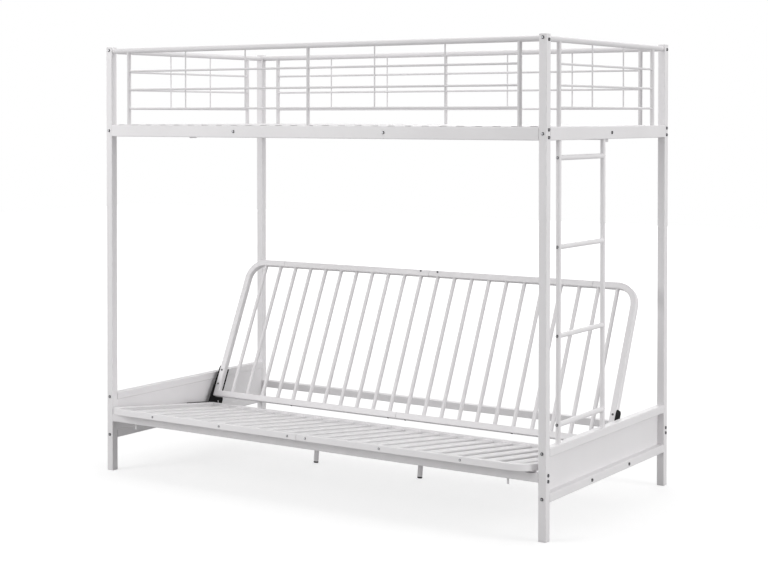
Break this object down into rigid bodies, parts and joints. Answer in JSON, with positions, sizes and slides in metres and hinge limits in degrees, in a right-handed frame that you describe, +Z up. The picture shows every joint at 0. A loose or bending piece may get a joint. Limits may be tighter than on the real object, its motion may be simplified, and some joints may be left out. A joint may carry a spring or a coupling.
{
  "type": "bunk bed with folding sofa below",
  "caption": "White metal bunk bed with guard rails, an end ladder and a slatted sofa below that slides forward and folds flat into a bed.",
  "frame": {"origin": "middle of the outline on the floor", "axes": "+X along the bed towards the ladder end, +Y to the back, +Z up"},
  "size_m": [1.999, 1.0788, 1.706],
  "materials": {
    "white_coat": "satin powder coat",
    "white_plastic": "matte moulded",
    "black_coat": "satin black coat",
    "black_plastic": "matte moulded",
    "bolt_steel": "dark zinc",
    "sleeve_steel": "bare drawn tube"
  },
  "bodies": {
    "frame": {"base_rail_front": "white_coat", "base_rail_rear": "white_coat", "bed_rail_front": "white_coat", "bed_rail_left": "white_coat", "bed_rail_rear": "white_coat", "bed_rail_right": "white_coat", "deck_slats": "white_coat", "deck_supports": "white_coat", "guard_rail_front": "white_coat", "guard_rail_left": "white_coat", "guard_rail_rear": "white_coat", "guard_rail_right": "white_coat", "guard_rods_front": "white_coat", "guard_rods_left": "white_coat", "guard_rods_rear": "white_coat", "guard_rods_right": "white_coat", "guard_stiles_front": "white_coat", "guard_stiles_left": "white_coat", "guard_stiles_rear": "white_coat", "guard_stiles_right": "white_coat", "guard_wires_front": "white_coat", "guard_wires_left": "white_coat", "guard_wires_rear": "white_coat", "guard_wires_right": "white_coat", "ladder_bolts": "bolt_steel", "ladder_rungs": "white_coat", "ladder_uprights": "white_coat", "panel_bolts": "bolt_steel", "panel_bottom_rail_left": "white_coat", "panel_bottom_rail_right": "white_coat", "panel_sheet_left": "white_coat", "panel_sheet_right": "white_coat", "panel_top_rail_left": "white_coat", "panel_top_rail_right": "white_coat", "post_bolts": "bolt_steel", "post_caps": "white_plastic", "post_feet": "white_plastic", "post_front_left": "white_coat", "post_front_right": "white_coat", "post_rear_left": "white_coat", "post_rear_right": "white_coat", "rail_bolts": "bolt_steel"},
    "straps": {"glide_straps": "white_coat"},
    "seat": {"seat_tube_left": "white_coat", "seat_tube_right": "white_coat", "seat_splices": "sleeve_steel", "seat_rear_tube": "white_coat", "seat_slats": "white_coat", "seat_legs": "white_coat", "leg_feet": "black_plastic", "seat_bolts": "bolt_steel", "hinge_seat_plates": "black_coat", "hinge_pins": "bolt_steel"},
    "backrest": {"back_tube_left": "white_coat", "back_tube_right": "white_coat", "back_bottom_tube": "white_coat", "back_splices": "sleeve_steel", "back_bars": "white_coat", "hinge_back_plates": "black_coat", "back_bolts": "bolt_steel"}
  },
  "joints": [
    {"name": "seat_tilt", "type": "hinge", "parent": "frame", "child": "straps", "pos_m": [0, -0.44515, 0.2293], "axis": [1, 0, 0], "range_deg": [0, 6.7]},
    {"name": "seat_slide", "type": "slide", "parent": "straps", "child": "seat", "axis": [0, -0.9932, 0.1167], "range_m": [0, 0.271]},
    {"name": "back_fold", "type": "hinge", "parent": "seat", "child": "backrest", "pos_m": [0, 0.12362, 0.17688], "axis": [-1, 0, 0], "range_deg": [0, 71]}
  ],
  "couplings": [
    {"joint": "seat_tilt", "follows": "seat_slide", "rad_per_m": 0.4315},
    {"joint": "back_fold", "follows": "seat_slide", "rad_per_m": 4.5726}
  ]
}
